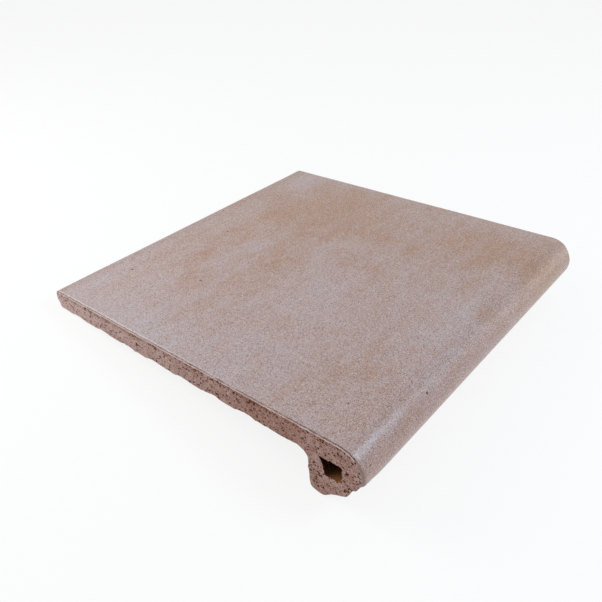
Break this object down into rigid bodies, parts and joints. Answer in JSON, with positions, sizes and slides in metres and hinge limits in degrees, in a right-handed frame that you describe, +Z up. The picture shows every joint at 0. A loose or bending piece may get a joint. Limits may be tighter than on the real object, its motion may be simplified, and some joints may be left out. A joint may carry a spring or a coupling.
{
  "type": "stair nosing tile",
  "caption": "Square fired-clay stair tread tile with a rounded hollow nose, a torn drip heel and a grooved underside, bedded on a step.",
  "frame": {"origin": "floor point under the middle of the tile's outline, as it lies unheld on its heel and back edge", "axes": "+X along the nose, +Y from the nose to the back edge, +Z up from the floor"},
  "size_m": [0.33, 0.3294, 0.0562],
  "materials": {
    "fired_clay": "matt"
  },
  "bodies": {
    "root": {"nosing_tile": "fired_clay"}
  },
  "joints": []
}
